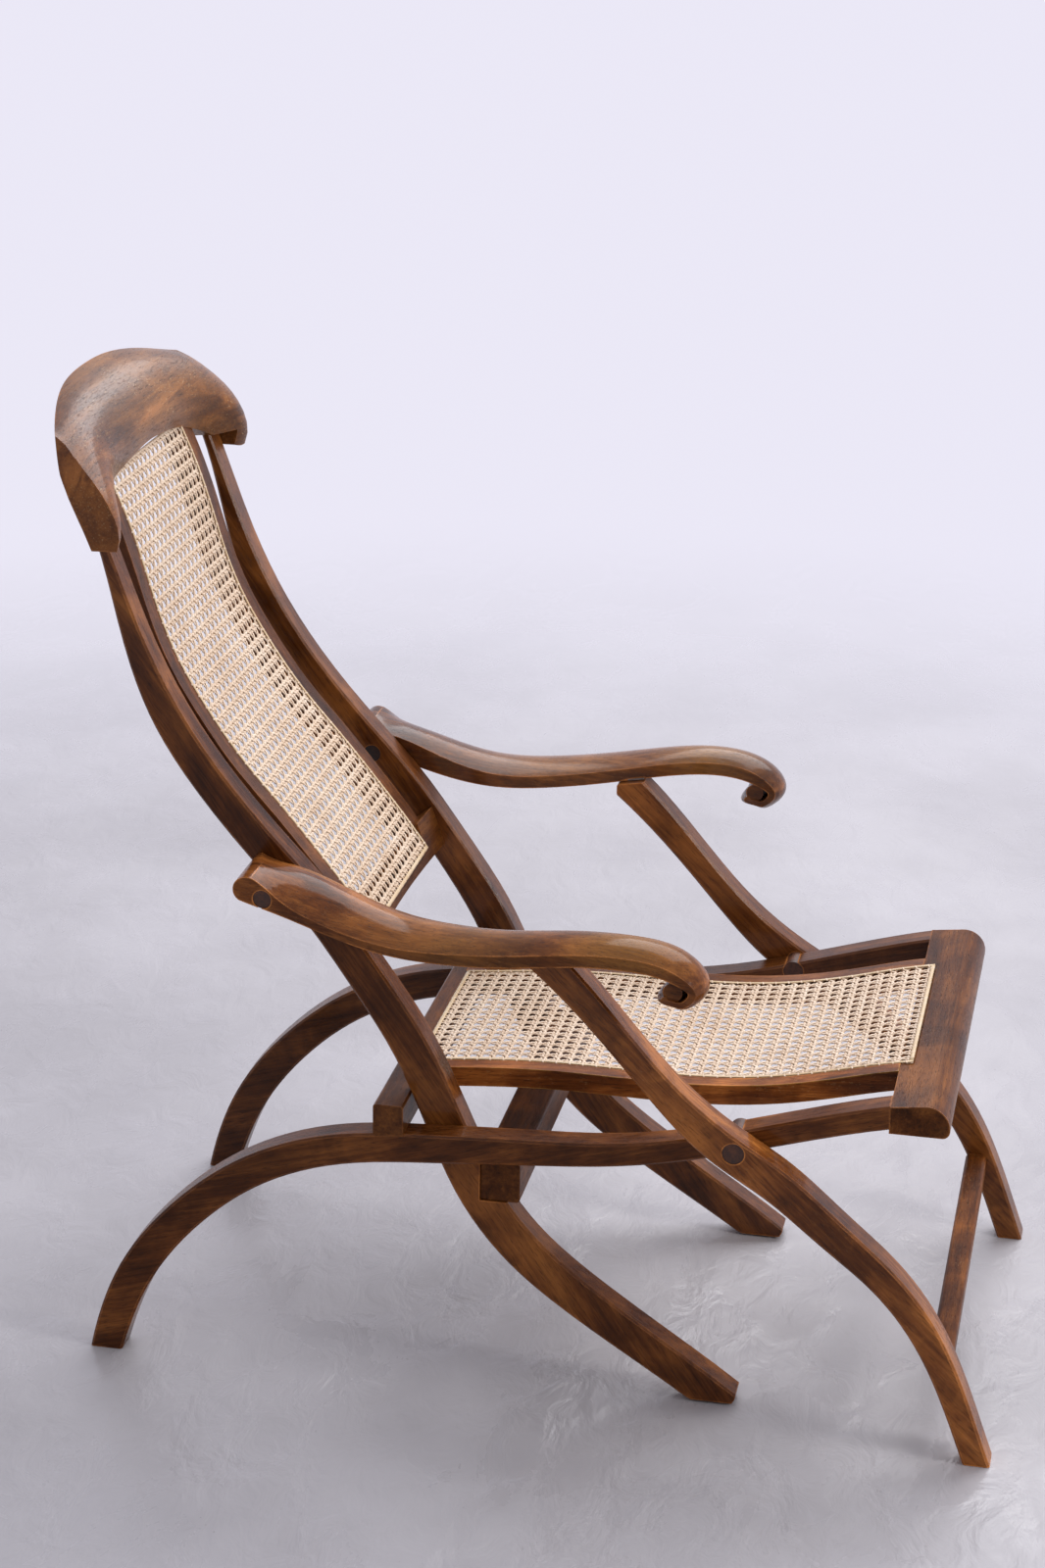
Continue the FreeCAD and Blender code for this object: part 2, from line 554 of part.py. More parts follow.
# Crest rail: hood lofted from ear to ear, cut back under the shoulders for the stiles
def crest_rail(parts_let_in):
    wires = []
    for lateral, front, rear in reversed(CREST_SECTIONS):
        wires.append(crest_section(-widened(lateral), fitted(front), fitted(rear)))
    for lateral, front, rear in CREST_SECTIONS[1:]:
        wires.append(crest_section(widened(lateral), fitted(front), fitted(rear)))
    crest = Part.makeLoft(wires, True, False, False, 3)
    crest = crest.cut(ear_waste()).cut(mirrored(ear_waste()))
    shoulder = block((-100, EAR_SHOULDER - 60), (150, EAR_SHOULDER), STILE_INNER - 30, RAIL_INNER)
    crest = crest.cut(shoulder).cut(mirrored(shoulder))
    for piece in parts_let_in:
        crest = crest.cut(piece)
    return crest


# One closed section across the arm: flat underside, upright sides, crown worked in narrow flats
def arm_section(station, tangent):
    thickness, outer_side, inner_side = station[1:4]
    centre = fitted([station[0]])[0]
    inner = RAIL_INNER + station[4]
    outer = RAIL_INNER + station[5]
    up = (-tangent[1], tangent[0])
    low = (centre[0] - up[0] * thickness / 2, centre[1] - up[1] * thickness / 2)

    def at(lateral, rise):
        return place(lateral, (low[0] + up[0] * rise, low[1] + up[1] * rise))

    middle = 0.45 * inner + 0.55 * outer
    crown = Part.Arc(at(outer, outer_side), at(middle, thickness), at(inner, inner_side))
    reach = crown.LastParameter - crown.FirstParameter
    corners = [at(inner, 0), at(outer, 0)]
    for step in range(ARM_CROWN_STEPS + 1):
        corners.append(crown.value(crown.FirstParameter + reach * step / ARM_CROWN_STEPS))
    corners.append(corners[0])
    return Part.makePolygon(corners)


# Waste behind the rounded rear end of the arm
def arm_end():
    centre = ARM_END_CENTRE
    slant = math.radians(ARM_END_SLANT)
    along = (math.cos(slant), -math.sin(slant))
    up = (math.sin(slant), math.cos(slant))
    corners = []
    for step, rise in ((0.0, -60.0), (0.0, 60.0), (-60.0, 60.0), (-60.0, -60.0)):
        corners.append((centre[0] + along[0] * step + up[0] * rise,
                        centre[1] + along[1] * step + up[1] * rise))
    waste = spread(polygon_face(corners, STILE_OUTER - 50), 200.0)
    return waste.cut(cross_pin(centre, 2 * ARM_END_RADIUS, STILE_OUTER - 60, STILE_OUTER + 160))


# Arm: one board that runs forward, widens out and curls under in a scroll
def arm():
    path = fitted([station[0] for station in ARM_STATIONS])
    curve = smooth_curve(path)
    wires = []
    for station, point in zip(ARM_STATIONS, path):
        direction = curve.tangent(curve.parameter(place(0.0, point)))[0]
        wires.append(arm_section(station, (-direction.y, direction.z)))
    board = Part.makeLoft(wires, True, False, False, 3)
    board = board.cut(arm_end())
    inner = RAIL_INNER + ARM_STATIONS[-1][4] + SCROLL_EYE_RECESS
    outer = RAIL_INNER + ARM_STATIONS[-1][5] - SCROLL_EYE_RECESS
    eye = cross_pin(SCROLL_EYE, 2 * SCROLL_EYE_RADIUS, inner, outer)
    board = board.fuse(eye)
    pin_hole = cross_pin(ARM_PIVOT, ARM_PIN_DIAMETER, STILE_INNER, RAIL_INNER + ARM_STATIONS[-1][5])
    return board.cut(hinge_recess()).cut(pin_hole)


# Recess under the arm for the plate of its hinge
def hinge_recess():
    drop = 4.0
    outline = [HINGE_PLATE[2], HINGE_PLATE[3]]
    for low, high in ((HINGE_PLATE[0], HINGE_PLATE[3]), (HINGE_PLATE[1], HINGE_PLATE[2])):
        outline.append((low[0] + drop * (low[0] - high[0]), low[1] + drop * (low[1] - high[1])))
    inner = HINGE_CENTRE - HINGE_PLATE_WIDTH / 2
    return spread(polygon_face(outline, inner), HINGE_PLATE_WIDTH)


# Iron hinge of the arm: plate let in flush with the underside, web and eye
def arm_hinge_eye():
    plate = spread(polygon_face(HINGE_PLATE, HINGE_CENTRE - HINGE_PLATE_WIDTH / 2), HINGE_PLATE_WIDTH)
    inner = HINGE_CENTRE - HINGE_EYE_WIDTH / 2
    outer = HINGE_CENTRE + HINGE_EYE_WIDTH / 2
    web_low = (ARM_HINGE[0] - HINGE_WEB / 2, ARM_HINGE[1])
    web_high = (ARM_HINGE[0] + HINGE_WEB / 2, HINGE_PLATE[0][1] + HINGE_WEB_TENON)
    web = block(web_low, web_high, inner, outer)
    eye = cross_pin(ARM_HINGE, 2 * HINGE_EYE_RADIUS, inner, outer)
    hole = cross_pin(ARM_HINGE, HINGE_PIN_DIAMETER + 2 * PIN_CLEARANCE, inner - 1, outer + 1)
    return plate.fuse(web).fuse(eye).cut(hole).removeSplitter()


# Pins of the fold
def back_pivot_pin():
    inner = STILE_INNER + BACK_PIN_SHY_INSIDE
    outer = RAIL_OUTER - BACK_PIN_SHY_OUTSIDE
    return cross_pin(BACK_PIVOT, BACK_PIN_DIAMETER, inner, outer)


def leg_pivot_pin():
    return cross_pin(LEG_PIVOT, LEG_PIN_DIAMETER, RAIL_INNER + PIN_RECESS, LEG_OUTER - PIN_RECESS)


# The arm pin lies in two lengths that meet at the joint between stile and arm
def arm_pivot_pin():
    outer = RAIL_INNER + ARM_STATIONS[2][5] - ARM_PIN_RECESS
    return cross_pin(ARM_PIVOT, ARM_PIN_DIAMETER, RAIL_INNER + PIN_SPLIT, outer)


def stile_pin_end():
    return cross_pin(ARM_PIVOT, ARM_PIN_DIAMETER, STILE_INNER + PIN_RECESS, STILE_OUTER - PIN_SPLIT)


def arm_hinge_pin():
    half = HINGE_PIN_LENGTH / 2
    return cross_pin(ARM_HINGE, HINGE_PIN_DIAMETER, HINGE_CENTRE - half, HINGE_CENTRE + half)


def pair(shape):
    return Part.makeCompound([shape, mirrored(shape)])


# All nodes by name
def build():
    nodes = {}
    rail = side_rail()
    stile = back_stile()
    leg = front_leg()
    nodes["seat_side_rail_left"] = rail
    nodes["seat_side_rail_right"] = mirrored(rail)
    nodes["seat_front_rail"] = front_rail()
    nodes["seat_rear_crossbar"] = rear_crossbar([rail, mirrored(rail)])
    inner_seat = inner_seat_rail(nodes["seat_rear_crossbar"])
    nodes["seat_inner_rail_left"] = inner_seat
    nodes["seat_inner_rail_right"] = mirrored(inner_seat)
    nodes["seat_cane"] = seat_cane()
    nodes["seat_cane_binding"] = seat_binding()
    nodes["seat_front_dowels"] = pair(front_dowel())
    nodes["crossbar_dowels"] = pair(crossbar_dowel())
    nodes["back_pivot_pins"] = pair(back_pivot_pin())
    nodes["leg_pivot_pins"] = pair(leg_pivot_pin())
    nodes["back_stile_left"] = stile
    nodes["back_stile_right"] = mirrored(stile)
    lower = back_lower_rail()
    inner_back = inner_back_rail()
    lower = lower.cut(back_layer(0.0, 20.0, BACK_CANE_HALF))
    nodes["back_lower_rail"] = lower
    inner_back = inner_back.cut(lower)
    nodes["back_inner_rail_left"] = inner_back
    nodes["back_inner_rail_right"] = mirrored(inner_back)
    nodes["back_cane"] = back_cane()
    nodes["back_cane_binding"] = back_binding()
    nodes["back_stretcher"] = back_stretcher()
    let_in = [stile, mirrored(stile), inner_back, mirrored(inner_back)]
    let_in += [nodes["back_cane"], nodes["back_cane_binding"]]
    nodes["crest_rail"] = crest_rail(let_in)
    nodes["stile_pin_ends"] = pair(stile_pin_end())
    board = arm()
    nodes["arm_left"] = board
    nodes["arm_right"] = mirrored(board)
    nodes["arm_pivot_pin_left"] = arm_pivot_pin()
    nodes["arm_pivot_pin_right"] = mirrored(arm_pivot_pin())
    nodes["arm_hinge_eye_left"] = arm_hinge_eye()
    nodes["arm_hinge_eye_right"] = mirrored(arm_hinge_eye())
    nodes["front_leg_left"] = leg
    nodes["front_leg_right"] = mirrored(leg)
    nodes["front_stretcher"] = front_stretcher()
    nodes["arm_hinge_pins"] = pair(arm_hinge_pin())
    return nodes


# Depth at which the chair's box is centred, rounded to a tenth
def centre_shift(nodes):
    box = FreeCAD.BoundBox()
    for shape in nodes.values():
        box.add(shape.optimalBoundingBox(False))
    return -round((box.YMin + box.YMax) / 2, 1), box


def main():
    os.makedirs("parts", exist_ok=True)
    nodes = build()
    shift, box = centre_shift(nodes)
    print("shift along Y", shift, "box", box)
    for name, shape in nodes.items():
        moved = shape.copy()
        moved.translate(FreeCAD.Vector(0, shift, 0))
        moved.exportStep("parts/" + name + ".step")
    for label, pivot in (("back", BACK_PIVOT), ("leg", LEG_PIVOT), ("arm", ARM_PIVOT), ("hinge", ARM_HINGE)):
        print(label, "pivot Y", round(shift - pivot[0], 2), "Z", pivot[1])


main()
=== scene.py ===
import math
import random
from collections import namedtuple

import bpy
import numpy as np
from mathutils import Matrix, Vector
from mathutils.bvhtree import BVHTree

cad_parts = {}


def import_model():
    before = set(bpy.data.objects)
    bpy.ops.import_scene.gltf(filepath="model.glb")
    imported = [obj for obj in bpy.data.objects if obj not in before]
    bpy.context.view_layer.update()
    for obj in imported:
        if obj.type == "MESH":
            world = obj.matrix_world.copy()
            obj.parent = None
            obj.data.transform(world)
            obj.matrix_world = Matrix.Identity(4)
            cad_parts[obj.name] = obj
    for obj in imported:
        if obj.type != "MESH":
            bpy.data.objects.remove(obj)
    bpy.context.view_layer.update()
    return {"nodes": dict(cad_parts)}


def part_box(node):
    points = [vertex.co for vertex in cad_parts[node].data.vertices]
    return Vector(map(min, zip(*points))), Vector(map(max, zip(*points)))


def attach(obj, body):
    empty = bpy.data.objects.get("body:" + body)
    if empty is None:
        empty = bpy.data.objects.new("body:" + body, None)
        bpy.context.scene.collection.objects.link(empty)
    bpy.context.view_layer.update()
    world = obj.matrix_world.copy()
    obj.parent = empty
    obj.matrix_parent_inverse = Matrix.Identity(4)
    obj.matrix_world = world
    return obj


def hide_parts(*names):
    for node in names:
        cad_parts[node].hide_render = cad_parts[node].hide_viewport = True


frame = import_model()
nodes = frame["nodes"]
scene = bpy.context.scene


# Node helpers

def new_material(name):
    material = bpy.data.materials.new(name)
    material.use_nodes = True
    return material, material.node_tree, material.node_tree.nodes["Principled BSDF"]


def feed(tree, socket, value):
    """Links an output to the socket, or sets the socket's own value."""
    if isinstance(value, bpy.types.NodeSocket):
        tree.links.new(value, socket)
    elif isinstance(value, (tuple, list, Vector)) and socket.type == "RGBA" and len(value) == 3:
        socket.default_value = (*value, 1.0)
    else:
        socket.default_value = value


def add(tree, kind, settings=None, **inputs):
    """Adds a node. An input's name is written with _ for its spaces."""
    node = tree.nodes.new(kind)
    for key, value in (settings or {}).items():
        setattr(node, key, value)
    for key, value in inputs.items():
        feed(tree, node.inputs[key.replace("_", " ")], value)
    return node


def math_node(tree, operation, first, second):
    node = add(tree, "ShaderNodeMath", {"operation": operation})
    feed(tree, node.inputs[0], first)
    feed(tree, node.inputs[1], second)
    return node.outputs[0]


def plus(tree, first, second):
    return math_node(tree, "ADD", first, second)


def times(tree, first, second):
    return math_node(tree, "MULTIPLY", first, second)


def vector_math(tree, operation, *inputs):
    node = add(tree, "ShaderNodeVectorMath", {"operation": operation})
    for socket, value in zip(node.inputs, inputs):
        feed(tree, socket, value)
    return node.outputs


def stretched(tree, vector, scale):
    return vector_math(tree, "MULTIPLY", vector, scale)["Vector"]


def noise(tree, vector, scale, detail=3.0, roughness=0.55, distortion=0.0):
    node = add(tree, "ShaderNodeTexNoise", None, Vector=vector, Scale=scale, Detail=detail,
               Roughness=roughness, Distortion=distortion)
    return node.outputs["Fac"]


def stretched_noise(tree, vector, scale, detail=3.0, roughness=0.55, distortion=0.0):
    return noise(tree, stretched(tree, vector, scale), 1.0, detail, roughness, distortion)


def ramp(tree, value, stops, smooth=True):
    """Colour ramp. A stop's colour is a tuple, or a number for a grey."""
    node = tree.nodes.new("ShaderNodeValToRGB")
    band = node.color_ramp
    band.interpolation = "EASE" if smooth else "LINEAR"
    while len(band.elements) < len(stops):
        band.elements.new(0.5)
    for element, (place, colour) in zip(band.elements, stops):
        element.position = place
        if isinstance(colour, (int, float)):
            colour = (colour, colour, colour)
        element.color = (*colour, 1.0)
    feed(tree, node.inputs["Fac"], value)
    return node.outputs["Color"]


# sockets of a Mix node that mixes colours
MIX_SHARE, MIX_FIRST, MIX_SECOND, MIX_RESULT = 0, 6, 7, 2


def mix(tree, share, first, second, blend="MIX"):
    node = add(tree, "ShaderNodeMix", {"data_type": "RGBA", "blend_type": blend})
    feed(tree, node.inputs[MIX_SHARE], share)
    feed(tree, node.inputs[MIX_FIRST], first)
    feed(tree, node.inputs[MIX_SECOND], second)
    return node.outputs[MIX_RESULT]


def spread(tree, value, low, high):
    """Turns 0 to 1 into low to high."""
    node = add(tree, "ShaderNodeMapRange", None, Value=value, To_Min=low, To_Max=high)
    return node.outputs["Result"]


def fade(tree, value, start, end, at_start, at_end):
    """Goes smoothly from at_start to at_end while the value goes from start to end."""
    node = add(tree, "ShaderNodeMapRange", {"interpolation_type": "SMOOTHSTEP"}, Value=value,
               From_Min=start, From_Max=end, To_Min=at_start, To_Max=at_end)
    return node.outputs["Result"]


def arris_mask(tree, radius, low, high):
    """White where the surface turns within the radius, as along an arris."""
    bevel = add(tree, "ShaderNodeBevel", {"samples": 6}, Radius=radius)
    geometry = tree.nodes.new("ShaderNodeNewGeometry")
    facing = vector_math(tree, "DOT_PRODUCT", bevel.outputs["Normal"], geometry.outputs["True Normal"])
    return ramp(tree, math_node(tree, "SUBTRACT", 1.0, facing["Value"]), [(low, 0.0), (high, 1.0)])


def emboss(tree, surface, height, strength, distance):
    bump = add(tree, "ShaderNodeBump", None, Strength=strength, Distance=distance, Height=height)
    feed(tree, surface.inputs["Normal"], bump.outputs["Normal"])


def scaled(colour, factor, lift=0.0):
    """The colour times the factor, plus the lift, up to 1."""
    return tuple(min(1.0, factor * channel + lift) for channel in colour)


# Mahogany boards

DARK = (0.032, 0.0090, 0.0024)
MID = (0.152, 0.0455, 0.0095)
LIGHT = (0.370, 0.1330, 0.0290)
STAIN = (0.34, 0.29, 0.26)
RUBBED_DARK = (0.22, 0.085, 0.016)
RUBBED_LIGHT = (0.46, 0.220, 0.050)
FLECK = (0.70, 0.46, 0.22)

# scales of the grain's noise fields per metre, along the board and across it
FIGURE_SCALE = (3.4, 24, 24)
FIBRE_SCALE = (10, 230, 230)
PORE_SCALE = (85, 1150, 1150)
DUST_SCALE = (240, 620, 620)
PATCH_SCALE = 8.0
BLOTCH_SCALE = 26.0

# how far each next board's grain is shifted
SEED_SHIFT = (3.1, 1.7, 2.3)

ARRIS_RADIUS = 0.0032
ARRIS_ANGLE = math.radians(28)
JOINED_WITHIN = 0.00002
POLISH_ROUGHNESS = 0.11
BOARD_EASING = 0.0012
PIN_EASING = 0.0006

Grain = namedtuple("Grain", "figure fibres pores patches blotch dust")
Finish = namedtuple("Finish", "tone wear gloss flecks shine polish")

# tone of the colour, wear of the arrises with its painted highlight, roughness, pale flecks, specular level
# and coat; the right-hand boards on the shaded side carry a higher tone and more arris wear as painted
# light
FINISHES = {
    "seat_side_rail_left": Finish(0.8, 0.7, 0.28, 0.0, 0.14, 0.15),
    "seat_side_rail_right": Finish(1.0, 0.9, 0.26, 0.0, 0.06, 0.22),
    "seat_front_rail": Finish(0.8, 0.9, 0.28, 0.15, 0.05, 0.12),
    "seat_rear_crossbar": Finish(0.7, 0.6, 0.36, 0.0, 0.14, 0.06),
    "seat_inner_rail_left": Finish(1.2, 0.5, 0.36, 0.1, 0.14, 0.06),
    "seat_inner_rail_right": Finish(2.1, 0.5, 0.36, 0.2, 0.12, 0.06),
    "back_stile_left": Finish(0.95, 0.8, 0.28, 0.0, 0.16, 0.20),
    "back_stile_right": Finish(1.1, 1.0, 0.26, 0.0, 0.06, 0.25),
    "crest_rail": Finish(0.98, 0.6, 0.27, 0.5, 0.16, 0.16),
    "back_lower_rail": Finish(0.55, 0.5, 0.34, 0.1, 0.05, 0.06),
    "back_inner_rail_left": Finish(0.95, 0.5, 0.34, 0.1, 0.16, 0.06),
    "back_inner_rail_right": Finish(0.95, 0.5, 0.34, 0.1, 0.16, 0.06),
    "back_stretcher": Finish(0.75, 0.5, 0.38, 0.0, 0.10, 0.06),
    "arm_left": Finish(0.95, 0.9, 0.24, 0.1, 0.14, 0.30),
    "arm_right": Finish(1.3, 1.0, 0.24, 0.1, 0.03, 0.32),
    "front_leg_left": Finish(1.0, 0.8, 0.28, 0.0, 0.12, 0.20),
    "front_leg_right": Finish(1.4, 1.1, 0.24, 0.1, 0.06, 0.35),
    "front_stretcher": Finish(1.1, 0.6, 0.38, 0.2, 0.05, 0.06),
}


def rubbed_arm(side):
    """The scroll and the middle of an arm's top, as point, reach and strength."""
    return ((side * 0.285, -0.125, 0.545), 0.09, 0.8), ((side * 0.275, 0.05, 0.530), 0.13, 0.45)


# places rubbed golden by head and hands
RUBBED = {
    "crest_rail": (((0.05, 0.44, 0.950), 0.26, 0.6),),
    "arm_left": rubbed_arm(1),
    "arm_right": rubbed_arm(-1),
}


def long_axis(mesh):
    """The direction in which the mesh is longest."""
    places = np.array([vertex.co for vertex in mesh.vertices])
    vectors = np.linalg.eigh(np.cov((places - places.mean(0)).T))[1]
    return Vector(vectors[:, -1])


def grain_of(tree, place):
    """The noise fields of a board whose length lies along X."""
    return Grain(
        figure=stretched_noise(tree, place, FIGURE_SCALE, detail=5, roughness=0.6, distortion=1.1),
        fibres=stretched_noise(tree, place, FIBRE_SCALE, detail=4, roughness=0.62, distortion=0.4),
        pores=stretched_noise(tree, place, PORE_SCALE, detail=2, roughness=0.5),
        patches=noise(tree, place, PATCH_SCALE, detail=4, roughness=0.62, distortion=0.5),
        blotch=noise(tree, place, BLOTCH_SCALE, detail=3, roughness=0.6, distortion=0.8),
        dust=stretched_noise(tree, place, DUST_SCALE, detail=2, roughness=0.6))


def board_colour(tree, grain, tone):
    """Figure and fibres, darkened by stain in some patches and glowing in others."""
    dark, mid, light = scaled(DARK, tone), scaled(MID, tone), scaled(LIGHT, tone)
    streaks = plus(tree, times(tree, grain.figure, 0.62), times(tree, grain.fibres, 0.38))
    colour = ramp(tree, streaks, [(0.31, dark), (0.48, mid), (0.68, light)], smooth=False)
    stain = ramp(tree, grain.patches, [(0.36, 1.0), (0.58, 0.0)])
    stained = mix(tree, 1.0, colour, STAIN, blend="MULTIPLY")
    colour = mix(tree, times(tree, stain, 0.78), colour, stained)
    glow = times(tree, ramp(tree, grain.patches, [(0.52, 0.0), (0.70, 1.0)]),
                 ramp(tree, grain.blotch, [(0.40, 0.3), (0.62, 1.0)]))
    return mix(tree, times(tree, glow, 0.4), colour, scaled(light, 1.35))


def rubbed_colour(tree, grain, place, colour, spot, reach, strength):
    """Golden wood near a spot, where hands or a head have rubbed the stain away."""
    away = vector_math(tree, "DISTANCE", place, spot)["Value"]
    patchy = times(tree, fade(tree, away, 0.0, reach, strength, 0.0),
                   ramp(tree, grain.figure, [(0.36, 0.45), (0.56, 1.0)]))
    return mix(tree, patchy, colour, mix(tree, grain.fibres, RUBBED_DARK, RUBBED_LIGHT))


def wear_and_highlight_mask(tree, grain, wear, normal, rubbed):
    """Patchy wear on the arrises, which also serves as a painted highlight along them, and a painted
    highlight on the shoulders of a rubbed piece.
    """
    worn_and_highlit = times(tree, arris_mask(tree, ARRIS_RADIUS, 0.02, 0.20),
                 ramp(tree, grain.blotch, [(0.36, 0.12), (0.60, 1.0)]))
    worn_and_highlit = times(tree, worn_and_highlit, wear)
    if not rubbed:
        return worn_and_highlit
    # painted highlight: a paler band where the surface tilts partly upward, on the shoulders of the arms
    # and crest
    tilt = tree.nodes.new("ShaderNodeSeparateXYZ")
    tree.links.new(normal, tilt.inputs[0])
    shoulder_highlight = times(tree, ramp(tree, tilt.outputs["Z"], [(0.10, 0.0), (0.34, 1.0), (0.62, 0.0)]),
                     ramp(tree, grain.figure, [(0.40, 0.0), (0.60, 0.35)]))
    return math_node(tree, "MAXIMUM", worn_and_highlit, shoulder_highlight)


def mahogany(name, axis, seed, finish, rubbed):
    """Old polished mahogany, its grain along the axis."""
    material, tree, surface = new_material(name)
    coords = tree.nodes.new("ShaderNodeTexCoord")
    turn = axis.rotation_difference(Vector((1, 0, 0))).to_euler()
    mapping = add(tree, "ShaderNodeMapping", {"vector_type": "POINT"},
                  Vector=coords.outputs["Object"], Rotation=turn,
                  Location=tuple(seed * shift for shift in SEED_SHIFT))
    grain = grain_of(tree, mapping.outputs["Vector"])
    pore_mask = ramp(tree, grain.pores, [(0.56, 0.0), (0.68, 1.0)])

    colour = board_colour(tree, grain, finish.tone)
    for spot, reach, strength in rubbed:
        colour = rubbed_colour(tree, grain, coords.outputs["Object"], colour, spot, reach, strength)
    colour = mix(tree, times(tree, pore_mask, 0.55), colour, scaled(scaled(DARK, finish.tone), 0.30))
    worn_and_highlit = wear_and_highlight_mask(tree, grain, finish.wear, coords.outputs["Normal"], rubbed)
    # arrises painted paler, partly as wear and partly as painted highlight, and the shoulders' painted
    # highlight
    colour = mix(tree, worn_and_highlit, colour, scaled(scaled(LIGHT, finish.tone), 1.9, 0.02))
    if finish.flecks:
        speck = times(tree, ramp(tree, grain.dust, [(0.60, 0.0), (0.70, 1.0)]),
                      ramp(tree, grain.blotch, [(0.42, 0.2), (0.6, 1.0)]))
        colour = mix(tree, times(tree, speck, finish.flecks), colour, FLECK)
    feed(tree, surface.inputs["Base Color"], colour)

    rough = plus(tree, spread(tree, grain.patches, finish.gloss - 0.08, finish.gloss + 0.12),
                 times(tree, pore_mask, 0.15))
    rough = plus(tree, rough, spread(tree, grain.fibres, -0.05, 0.05))
    feed(tree, surface.inputs["Roughness"], rough)
    height = math_node(tree, "SUBTRACT", times(tree, grain.fibres, 0.5), times(tree, pore_mask, 0.7))
    height = plus(tree, height, times(tree, grain.blotch, 0.6))
    emboss(tree, surface, height, strength=0.4, distance=0.0005)
    surface.inputs["Coat Weight"].default_value = finish.polish
    surface.inputs["Coat Roughness"].default_value = POLISH_ROUGHNESS
    surface.inputs["Specular IOR Level"].default_value = finish.shine
    return material


def soften(node, width):
    """Eases the edges by the width and keeps the faces flat."""
    for polygon in node.data.polygons:
        polygon.use_smooth = True
    weld = node.modifiers.new("joined_faces", "WELD")
    weld.merge_threshold = JOINED_WITHIN
    bevel = node.modifiers.new("eased_edges", "BEVEL")
    bevel.width = width
    bevel.segments = 2
    bevel.limit_method = "ANGLE"
    bevel.angle_limit = ARRIS_ANGLE
    bevel.use_clamp_overlap = True
    bevel.miter_outer = "MITER_ARC"
    normals = node.modifiers.new("flat_faces", "WEIGHTED_NORMAL")
    normals.keep_sharp = True


def clothe(node, material):
    node.data.materials.clear()
    node.data.materials.append(material)


for number, (name, finish) in enumerate(FINISHES.items()):
    board = nodes[name]
    seed = 1.0 + number
    clothe(board, mahogany(name + "_wood", long_axis(board.data), seed, finish, RUBBED.get(name, ())))
    soften(board, BOARD_EASING)


# Pins, dowels and hinge steel

SOOT = (0.012, 0.006, 0.004)
STEEL_DARK = (0.20, 0.19, 0.18)
STEEL_LIGHT = (0.36, 0.34, 0.32)
RUST = (0.16, 0.06, 0.025)
RING_SCALE = (4, 260, 260)
TURNED_SCALE = (900, 40, 40)
PIN_PATCH_SCALE = 60.0
RUST_SCALE = 260.0
PIN_LINE_RADIUS = 0.0015


def end_grain(name, dark, light):
    """Turned wood with a dark line round its arris."""
    material, tree, surface = new_material(name)
    place = tree.nodes.new("ShaderNodeTexCoord").outputs["Object"]
    rings = stretched_noise(tree, place, RING_SCALE, detail=3, roughness=0.6, distortion=1.2)
    patches = noise(tree, place, PIN_PATCH_SCALE, detail=2)
    colour = ramp(tree, rings, [(0.35, dark), (0.68, light)], smooth=False)
    colour = mix(tree, ramp(tree, patches, [(0.4, 0.6), (0.6, 0.0)]), colour, scaled(dark, 0.4))
    line = arris_mask(tree, PIN_LINE_RADIUS, 0.03, 0.2)
    colour = mix(tree, times(tree, line, 0.5), colour, SOOT)
    feed(tree, surface.inputs["Base Color"], colour)
    feed(tree, surface.inputs["Roughness"], spread(tree, rings, 0.38, 0.6))
    emboss(tree, surface, rings, strength=0.4, distance=0.0004)
    return material


def aged_steel():
    """Dull steel with rust in patches."""
    material, tree, surface = new_material("aged_steel")
    place = tree.nodes.new("ShaderNodeTexCoord").outputs["Object"]
    turned = stretched_noise(tree, place, TURNED_SCALE, detail=3)
    rust = noise(tree, place, RUST_SCALE, detail=4, roughness=0.65)
    colour = mix(tree, ramp(tree, rust, [(0.5, 0.0), (0.68, 0.8)]),
                 ramp(tree, turned, [(0.3, STEEL_DARK), (0.7, STEEL_LIGHT)]), RUST)
    feed(tree, surface.inputs["Base Color"], colour)
    feed(tree, surface.inputs["Metallic"], ramp(tree, rust, [(0.5, 1.0), (0.68, 0.2)]))
    feed(tree, surface.inputs["Roughness"], spread(tree, turned, 0.3, 0.55))
    return material


pin_wood = end_grain("pin_end_grain", (0.050, 0.016, 0.006), (0.165, 0.052, 0.018))
dark_pin = end_grain("dark_pin_end_grain", (0.012, 0.005, 0.003), (0.040, 0.015, 0.007))
dowel_wood = end_grain("dowel_beech", (0.30, 0.19, 0.10), (0.52, 0.36, 0.20))
for name in ("leg_pivot_pins", "arm_pivot_pin_left", "arm_pivot_pin_right"):
    clothe(nodes[name], pin_wood)
    soften(nodes[name], PIN_EASING)
for name in ("back_pivot_pins", "stile_pin_ends"):
    clothe(nodes[name], dark_pin)
    soften(nodes[name], PIN_EASING)
for name in ("seat_front_dowels", "crossbar_dowels"):
    clothe(nodes[name], dowel_wood)
steel = aged_steel()
for name in ("arm_hinge_pins", "arm_hinge_eye_left", "arm_hinge_eye_right"):
    clothe(nodes[name], steel)


# Woven cane

# from hole to hole, a strand's width and thickness, and half the distance between the two of a pair
PITCH = 0.0135
STRAND = 0.0032
THICK = 0.0010
PAIR = 0.00178

# a strand's rise over a crossing, its form above and below its edges, and the depth that it lies at
LIFT = 0.00085
CROWN = 0.6 * THICK
BELLY = 0.4 * THICK
DROP = 0.0012 + 0.2 * THICK

# where the first pitch starts along a panel, how far a strand strays, and its fewest points
FIRST_PAIR = 0.002
STRAY = 0.0001
SHORTEST = 3

# half widths of the panels, and how far inside its ends a panel's surface is read
SEAT_BACK_HALF = 0.120
SEAT_FRONT_HALF = 0.129
BACK_HALF = 0.120
READ_IN = 0.0005
BACK_FOOT_IN = 0.003
BACK_HEAD_IN = 0.002

